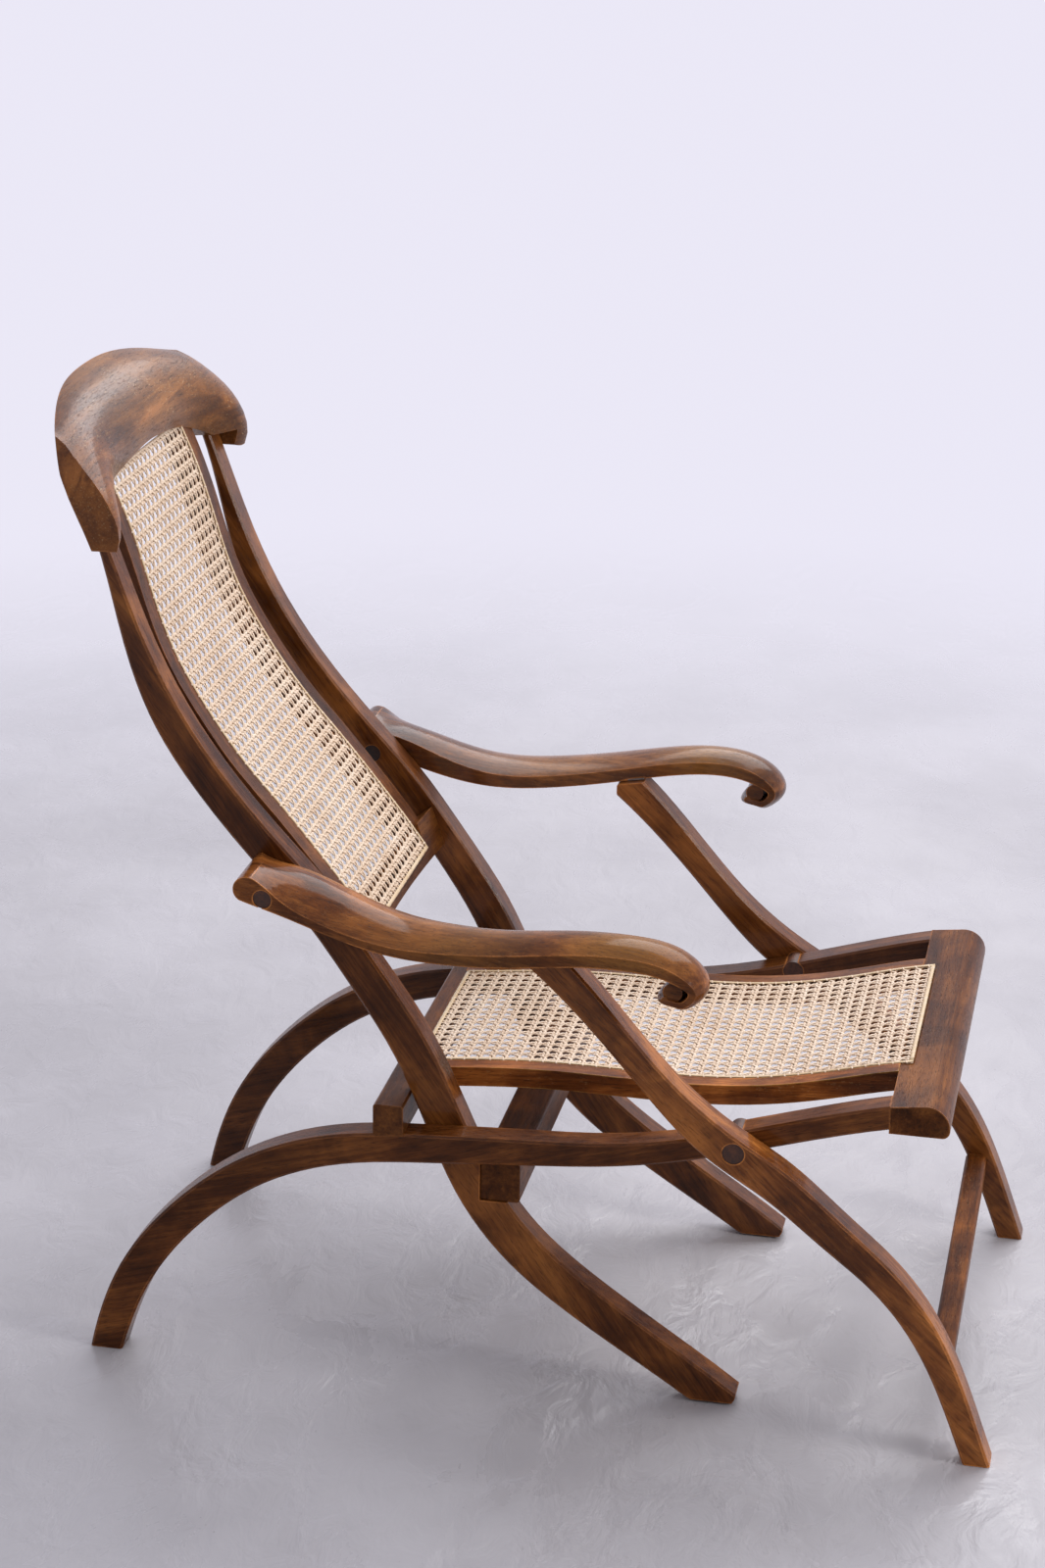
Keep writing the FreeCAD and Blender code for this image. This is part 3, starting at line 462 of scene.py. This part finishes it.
# points of a strand in pitches from a pair crossing, and its wave there
KNOTS = np.array([-0.115, 0.0, 0.115, 0.30, 0.5, 0.70])
WAVE = np.array([1.0, 0.0, -1.0, 0.0, 0.0, 0.0])
DIAGONAL_STEP = 0.125
DIAGONAL_SNAP = 2.2

# a strip's section as shares of its width and crown
SECTION = ((-0.5, 0.0), (-0.26, 0.75), (0.0, 1.0), (0.26, 0.75), (0.5, 0.0))

# UV units per metre along a strand and per side of its section, and the range of the strands' tags
UV_PER_METRE = 1000
UV_PER_SIDE = 0.4
UV_RANGE = 900

CANE_JOINT = (0.20, 0.10, 0.045)
CANE_EDGE_DARK = (0.24, 0.13, 0.06)
STREAK_SCALE = (12, 1.6, 1)
STRAND_SCALE = (0.35, 0.02, 1)
JOINT_SCALE = (0.9, 0.12, 1)
REGION_SCALE = 16.0
CANE_EDGE_RADIUS = 0.0008


def cane_material(name, dark, mid, light):
    """Peeled cane, streaked along each strand. The strand's UV is in millimetres along it."""
    material, tree, surface = new_material(name)
    along = add(tree, "ShaderNodeUVMap", {"uv_map": "strand"}).outputs["UV"]
    place = tree.nodes.new("ShaderNodeTexCoord").outputs["Object"]
    streaks = stretched_noise(tree, along, STREAK_SCALE, detail=3, roughness=0.6)
    each = stretched_noise(tree, along, STRAND_SCALE, detail=1, roughness=0.5)
    region = noise(tree, place, REGION_SCALE, detail=3, roughness=0.6)
    tone = plus(tree, times(tree, streaks, 0.35), times(tree, each, 0.40))
    tone = plus(tree, tone, times(tree, region, 0.25))
    colour = ramp(tree, tone, [(0.34, dark), (0.50, mid), (0.66, light)], smooth=False)
    joints = stretched_noise(tree, along, JOINT_SCALE, detail=0)
    joints = ramp(tree, joints, [(0.76, 0.0), (0.80, 1.0)])
    colour = mix(tree, times(tree, joints, 0.5), colour, CANE_JOINT)
    # darker along each strand's edges
    edge_dark = arris_mask(tree, CANE_EDGE_RADIUS, 0.25, 0.8)
    colour = mix(tree, times(tree, edge_dark, 0.25), colour, CANE_EDGE_DARK)
    feed(tree, surface.inputs["Base Color"], colour)
    feed(tree, surface.inputs["Roughness"], spread(tree, streaks, 0.34, 0.5))
    emboss(tree, surface, streaks, strength=0.25, distance=0.0002)
    surface.inputs["Coat Weight"].default_value = 0.2
    surface.inputs["Coat Roughness"].default_value = 0.25
    return material


CANE = cane_material("woven_cane", (0.64, 0.445, 0.285), (0.86, 0.66, 0.475), (0.97, 0.83, 0.67))
BINDER = cane_material("binding_cane", (0.58, 0.38, 0.18), (0.78, 0.58, 0.34), (0.88, 0.72, 0.50))


def spline(places, values, at):
    """Natural cubic spline through the values, read at the places asked for."""
    gaps = np.diff(places)
    count = len(places)
    matrix = np.zeros((count, count))
    right = np.zeros(count)
    matrix[0, 0] = matrix[-1, -1] = 1
    for i in range(1, count - 1):
        matrix[i, i - 1:i + 2] = gaps[i - 1], 2 * (gaps[i - 1] + gaps[i]), gaps[i]
        right[i] = 6 * ((values[i + 1] - values[i]) / gaps[i] - (values[i] - values[i - 1]) / gaps[i - 1])
    bends = np.linalg.solve(matrix, right)
    k = np.clip(np.searchsorted(places, at) - 1, 0, count - 2)
    past = at - places[k]
    slope = (values[k + 1] - values[k]) / gaps[k] - gaps[k] * (2 * bends[k] + bends[k + 1]) / 6
    return (values[k] + slope * past + bends[k] / 2 * past ** 2
            + (bends[k + 1] - bends[k]) / (6 * gaps[k]) * past ** 3)


def travelled(first, second):
    """Length along a curve up to each of its points."""
    return np.concatenate([[0], np.cumsum(np.hypot(np.diff(first), np.diff(second)))])


class Surface:
    """The sitter's side of a CAD cane panel. A place is x across it, s along it and a height off it."""

    SAMPLES = 14
    END_SHARE = 0.02
    RAY_START = 0.5
    STEPS = 400

    def __init__(self, node, start, end, towards):
        mesh = node.data
        tree = BVHTree.FromPolygons([vertex.co.copy() for vertex in mesh.vertices],
                                    [tuple(polygon.vertices) for polygon in mesh.polygons])
        hits = []
        for i in range(self.SAMPLES):
            share = (i + self.END_SHARE) / (self.SAMPLES - 1 + 2 * self.END_SHARE)
            hit = tree.ray_cast(start.lerp(end, share) - towards * self.RAY_START, towards)[0]
            if hit is not None:
                hits.append((hit.y, hit.z))
        y, z = np.array(hits).T
        rough = travelled(y, z)
        fine = np.linspace(0, rough[-1], self.STEPS)
        self.y, self.z = spline(rough, y, fine), spline(rough, z, fine)
        self.s = travelled(self.y, self.z)
        dy, dz = np.gradient(self.y, self.s), np.gradient(self.z, self.s)
        size = np.hypot(dy, dz)
        self.ny, self.nz = dz / size, -dy / size
        if self.ny.mean() * towards.y + self.nz.mean() * towards.z > 0:
            self.ny, self.nz = -self.ny, -self.nz
        self.length = self.s[-1]

    def at(self, x, s, height):
        y = np.interp(s, self.s, self.y) + np.interp(s, self.s, self.ny) * height
        z = np.interp(s, self.s, self.z) + np.interp(s, self.s, self.nz) * height
        return np.stack([x, y, z], -1)


class Strips:
    """Collects crowned strips and makes one mesh of them."""

    def __init__(self):
        self.points, self.faces, self.uv, self.count = [], [], [], 0

    def add(self, surface, x, s, height, width, crown, belly, tag):
        """A strip along the line x, s. Its tag sets it apart in the cane material."""
        tx, ts = np.gradient(x), np.gradient(s)
        size = np.hypot(tx, ts)
        sx, ss = -ts / size, tx / size
        rows = [surface.at(x + sx * width * across, s + ss * width * across, height + crown * rise)
                for across, rise in SECTION]
        rows.append(surface.at(x, s, height - belly))
        ring = np.stack(rows, 1)
        self.points.append(ring.reshape(-1, 3))
        travel = travelled(x, s) * UV_PER_METRE
        length, sides = ring.shape[:2]
        base = self.count
        for i in range(length - 1):
            here, there = base + i * sides, base + (i + 1) * sides
            for j in range(sides):
                k = (j + 1) % sides
                self.faces.append((here + j, there + j, there + k, here + k))
                u0, u1 = tag + j * UV_PER_SIDE, tag + (j + 1) * UV_PER_SIDE
                self.uv.append(((u0, travel[i]), (u0, travel[i + 1]), (u1, travel[i + 1]), (u1, travel[i])))
        for i, turned in ((0, False), (length - 1, True)):
            ends = [base + i * sides + j for j in range(sides)]
            self.faces.append(tuple(reversed(ends)) if turned else tuple(ends))
            self.uv.append(tuple((tag, travel[i]) for _ in ends))
        self.count += length * sides

    def make(self, name, material, body):
        mesh = bpy.data.meshes.new(name)
        mesh.from_pydata(np.concatenate(self.points).tolist(), [], self.faces)
        layer = mesh.uv_layers.new(name="strand")
        corners = [number for face in self.uv for corner in face for number in corner]
        layer.data.foreach_set("uv", np.array(corners, np.float32))
        mesh.polygons.foreach_set("use_smooth", [True] * len(mesh.polygons))
        mesh.materials.append(material)
        obj = bpy.data.objects.new(name, mesh)
        scene.collection.objects.link(obj)
        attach(obj, body)
        return obj


class Panel:
    """The strands of one cane panel, cut off at its edges."""

    def __init__(self, surface, half_at, rng):
        self.surface, self.half_at, self.rng = surface, half_at, rng

    def strand(self, strips, x, s, wave, widths):
        """Adds the part of a strand that lies on the panel."""
        keep = (np.abs(x) <= self.half_at(s)) & (s >= 0) & (s <= self.surface.length)
        if keep.sum() < SHORTEST:
            return
        index = np.where(keep)[0]
        part = slice(index[0], index[-1] + 1)
        strips.add(self.surface, x[part], s[part], wave[part] - DROP,
                   STRAND * self.rng.uniform(*widths), CROWN, BELLY, self.rng.uniform(0, UV_RANGE))

    def pairs(self, centres, crossings, wave, lengthwise):
        """Straight strands two by two, each over one strand of a crossing pair and under the other."""
        strips = Strips()
        run = (crossings[:, None] + KNOTS[None, :] * PITCH).ravel()
        for centre in centres:
            for side in (-1, 1):
                still = centre + side * PAIR + self.rng.uniform(-1, 1) * STRAY + np.zeros_like(run)
                x, s = (still, run) if lengthwise else (run, still)
                rise = np.tile(wave * side, len(crossings)) * 0.5 * LIFT
                self.strand(strips, x, s, rise, (0.93, 1.05))
        return strips

    def diagonals(self, way, columns, rows):
        """Single strands, over the pairs of one direction and under those of the other."""
        strips = Strips()
        span = columns + rows + 2
        across = np.arange(-columns - 1, columns + 1.01, DIAGONAL_STEP)
        # a half number lies on a lengthwise pair, and a whole one on a crosswise pair
        phase = np.cos(2 * math.pi * (across - 0.5))
        rise = way * np.tanh(DIAGONAL_SNAP * phase) / math.tanh(DIAGONAL_SNAP) * LIFT
        for k in range(-span, span + 1):
            s = (way * across + k + 0.5) * PITCH + FIRST_PAIR
            self.strand(strips, across * PITCH, s, rise, (0.95, 1.06))
        return strips


def weave(prefix, surface, half_at, body, node, rng):
    """Six-way cane: pairs lengthwise, pairs crosswise and one diagonal each way."""
    panel = Panel(surface, half_at, rng)
    columns = int(max(half_at(0), half_at(surface.length)) / PITCH) + 1
    rows = int(surface.length / PITCH) + 2
    lengthwise = (np.arange(-columns, columns + 1) + 0.5) * PITCH
    lengthwise_crossed = (np.arange(-columns - 1, columns + 1) + 0.5) * PITCH
    crosswise = (np.arange(-1, rows + 1) + 0.5) * PITCH + FIRST_PAIR
    made = {"_lengthwise": panel.pairs(lengthwise, crosswise, WAVE, True),
            "_crosswise": panel.pairs(crosswise, lengthwise_crossed, -WAVE, False),
            "_diagonal_a": panel.diagonals(1, columns, rows),
            "_diagonal_b": panel.diagonals(-1, columns, rows)}
    for label, strips in made.items():
        obj = strips.make(prefix + label, CANE, body)
        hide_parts(node)


def seat_surface():
    low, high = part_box("seat_cane")
    start = Vector((0, high.y - READ_IN, high.z))
    end = Vector((0, low.y + READ_IN, high.z))
    return Surface(nodes["seat_cane"], start, end, Vector((0, 0, -1)))


def back_surface():
    low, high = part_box("back_cane")
    chord = Vector((0, high.y - low.y, high.z - low.z)).normalized()
    start = Vector((0, low.y + BACK_FOOT_IN, low.z + READ_IN))
    end = Vector((0, high.y - READ_IN, high.z - BACK_HEAD_IN))
    return Surface(nodes["back_cane"], start, end, Vector((0, chord.z, -chord.y)))


def seat_half(s):
    return SEAT_BACK_HALF + (SEAT_FRONT_HALF - SEAT_BACK_HALF) * s / seat.length


def back_half(s):
    return BACK_HALF


rng = random.Random(7)
seat = seat_surface()
back = back_surface()
weave("seat_weave", seat, seat_half, "seat_frame", "seat_cane", rng)
weave("back_weave", back, back_half, "back", "back_cane", rng)


# Binding strips with their couching loops

# how far in from the panel's edges the binding strips run, start and end
EDGE_IN = 0.0024
END_IN = 0.0005
BACK_TOP_IN = 0.001
CROSS_IN = 0.002

CROSS_LIFT = 0.0001
BINDER_HEIGHT = 0.0002
BINDER_STEP = 0.012
BINDER_WIDTH = 0.0048
BINDER_CROWN = 0.0008
BINDER_BELLY = 0.0002
BINDER_WOBBLE = 0.00006

LOOP_POINTS = 7
LOOP_HALF = 0.0031
LOOP_ARC = 0.98
LOOP_RISE = 0.00095
LOOP_SINK = 0.0005
LOOP_LEAN = 0.25
LOOP_WIDTH = 0.0022
LOOP_CROWN = 0.0004
LOOP_BELLY = 0.0002


def binder(prefix, surface, lines, body, node, rng):
    """Binding strips along the lines, each tied down by a loop at every pitch."""
    strips, loops = Strips(), Strips()
    turn = np.linspace(-1, 1, LOOP_POINTS)
    arch = LOOP_RISE * np.sqrt(1 - (turn * LOOP_ARC) ** 2) - LOOP_SINK
    for (x0, s0), (x1, s1), lift in lines:
        length = math.hypot(x1 - x0, s1 - s0)
        share = np.linspace(0, 1, int(length / BINDER_STEP))
        wobble = np.array([rng.uniform(-1, 1) * BINDER_WOBBLE for _ in share])
        strips.add(surface, x0 + (x1 - x0) * share, s0 + (s1 - s0) * share,
                   BINDER_HEIGHT + lift + wobble, BINDER_WIDTH, BINDER_CROWN, BINDER_BELLY,
                   rng.uniform(0, UV_RANGE))
        ux, us = (x1 - x0) / length, (s1 - s0) / length
        count = int(length / PITCH)
        for i in range(count):
            place = (i + 0.5) * length / count
            along = place + turn * LOOP_HALF * LOOP_LEAN
            loops.add(surface, x0 + ux * along - us * turn * LOOP_HALF,
                      s0 + us * along + ux * turn * LOOP_HALF, BINDER_HEIGHT + lift + arch,
                      LOOP_WIDTH, LOOP_CROWN, LOOP_BELLY, rng.uniform(0, UV_RANGE))
    obj = strips.make(prefix, BINDER, body)
    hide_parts(node)
    ties = loops.make(prefix + "_loops", CANE, body)


def side_lines(start_half, end_half, end):
    """Start, end and lift of the binding strips along both sides."""
    return [((side * start_half, END_IN), (side * end_half, end), 0.0) for side in (-1, 1)]


def cross_line(half, s):
    """Start, end and lift of a binding strip across the panel."""
    return (-half + CROSS_IN, s), (half - CROSS_IN, s), CROSS_LIFT


seat_rear, seat_front = SEAT_BACK_HALF - EDGE_IN, SEAT_FRONT_HALF - EDGE_IN
binder("seat_binding_strip", seat,
       side_lines(seat_rear, seat_front, seat.length - END_IN)
       + [cross_line(seat_rear, EDGE_IN), cross_line(seat_front, seat.length - EDGE_IN)],
       "seat_frame", "seat_cane_binding", rng)
back_edge = BACK_HALF - EDGE_IN
binder("back_binding_strip", back,
       side_lines(back_edge, back_edge, back.length - BACK_TOP_IN) + [cross_line(back_edge, EDGE_IN)],
       "back", "back_cane_binding", rng)


# Floor, light and camera

FLOOR_RADIUS = 3.4
FLOOR_SIDES = 96
FLOOR_DROP = 0.0004
FLOOR_CLEAR_FROM = 1.3
FLOOR_CLEAR_TO = 3.2
FLOOR_DARK = (0.45, 0.440, 0.465)
FLOOR_LIGHT = (0.54, 0.530, 0.560)
CLOUD_SCALE = 2.2
POOL_SCALE = (5.0, 9.0, 5.0)
RIPPLE_SCALE = (14.0, 24.0, 14.0)

BACKDROP = (0.83, 0.81, 0.925)
GLOW = ((0.25, (0.17, 0.16, 0.155)), (0.55, (0.42, 0.41, 0.44)), (0.85, (0.86, 0.85, 0.93)))
GLOW_SIDE, GLOW_UP = 0.55, 0.45

Lamp = namedtuple("Lamp", "name place size power colour")
LAMPS = (
    Lamp("key", place=(2.2, -0.6, 3.0), size=(2.6, 2.6), power=82, colour=(1.0, 0.99, 1.0)),
    Lamp("front", place=(-0.8, -3.2, 2.0), size=(0.8, 1.5), power=38, colour=(1.0, 0.97, 0.94)),
)
LAMP_TARGET = Vector((0, 0, 0.4))

CAMERA_PLACE = (-3.2095, -0.5988, 1.7552)
CAMERA_TURN = (1.225799, -0.016786, -1.370003)
CAMERA_LENS = 77.30
CAMERA_SENSOR = 36.0


def floor_material():
    """Pale and softly polished, and clear towards the floor's rim."""
    material, tree, surface = new_material("pale_floor")
    place = tree.nodes.new("ShaderNodeTexCoord").outputs["Object"]
    cloud = noise(tree, place, CLOUD_SCALE, detail=4, roughness=0.6)
    feed(tree, surface.inputs["Base Color"], ramp(tree, cloud, [(0.3, FLOOR_DARK), (0.7, FLOOR_LIGHT)]))
    pools = stretched_noise(tree, place, POOL_SCALE, detail=5, roughness=0.62, distortion=0.8)
    feed(tree, surface.inputs["Roughness"], ramp(tree, pools, [(0.42, 0.24), (0.58, 0.42)]))
    ripple = stretched_noise(tree, place, RIPPLE_SCALE, detail=4, roughness=0.55, distortion=0.7)
    emboss(tree, surface, ripple, strength=0.26, distance=0.012)
    away = vector_math(tree, "LENGTH", place)["Value"]
    clear = tree.nodes.new("ShaderNodeBsdfTransparent")
    blend = tree.nodes.new("ShaderNodeMixShader")
    tree.links.new(fade(tree, away, FLOOR_CLEAR_FROM, FLOOR_CLEAR_TO, 0.0, 1.0), blend.inputs[0])
    tree.links.new(surface.outputs[0], blend.inputs[1])
    tree.links.new(clear.outputs[0], blend.inputs[2])
    tree.links.new(blend.outputs[0], tree.nodes["Material Output"].inputs["Surface"])
    return material


def floor():
    mesh = bpy.data.meshes.new("floor")
    turns = [2 * math.pi * i / FLOOR_SIDES for i in range(FLOOR_SIDES)]
    rim = [(FLOOR_RADIUS * math.cos(turn), FLOOR_RADIUS * math.sin(turn), -FLOOR_DROP) for turn in turns]
    mesh.from_pydata(rim, [], [tuple(range(FLOOR_SIDES))])
    mesh.materials.append(floor_material())
    obj = bpy.data.objects.new("floor", mesh)
    scene.collection.objects.link(obj)


def area_light(lamp):
    data = bpy.data.lights.new(lamp.name, "AREA")
    data.shape = "RECTANGLE"
    data.size, data.size_y = lamp.size
    data.energy = lamp.power
    data.color = lamp.colour
    obj = bpy.data.objects.new(lamp.name, data)
    scene.collection.objects.link(obj)
    obj.location = lamp.place
    obj.rotation_euler = (LAMP_TARGET - Vector(lamp.place)).to_track_quat("-Z", "Y").to_euler()


def world():
    """Soft light, brighter from above and the sitter's left, that shows as one pale backdrop."""
    made = bpy.data.worlds.new("studio")
    scene.world = made
    made.use_nodes = True
    tree = made.node_tree
    background = tree.nodes["Background"]
    coords = tree.nodes.new("ShaderNodeTexCoord")
    split = tree.nodes.new("ShaderNodeSeparateXYZ")
    tree.links.new(coords.outputs["Generated"], split.inputs[0])
    towards = plus(tree, times(tree, split.outputs["X"], GLOW_SIDE),
                   times(tree, split.outputs["Z"], GLOW_UP))
    glow = ramp(tree, plus(tree, times(tree, towards, 0.5), 0.5), GLOW)
    path = tree.nodes.new("ShaderNodeLightPath")
    shows = math_node(tree, "MAXIMUM", path.outputs["Is Camera Ray"], path.outputs["Is Transmission Ray"])
    shows = math_node(tree, "MAXIMUM", shows, path.outputs["Is Glossy Ray"])
    feed(tree, background.inputs["Color"], mix(tree, shows, glow, BACKDROP))
    background.inputs["Strength"].default_value = 1.0


def photo_camera():
    data = bpy.data.cameras.new("camera")
    data.sensor_width = CAMERA_SENSOR
    data.lens = CAMERA_LENS
    camera = bpy.data.objects.new("camera", data)
    scene.collection.objects.link(camera)
    camera.location = CAMERA_PLACE
    camera.rotation_euler = CAMERA_TURN
    return camera


floor()
world()
for lamp in LAMPS:
    area_light(lamp)
scene.camera = photo_camera()
scene.view_settings.view_transform = "Standard"
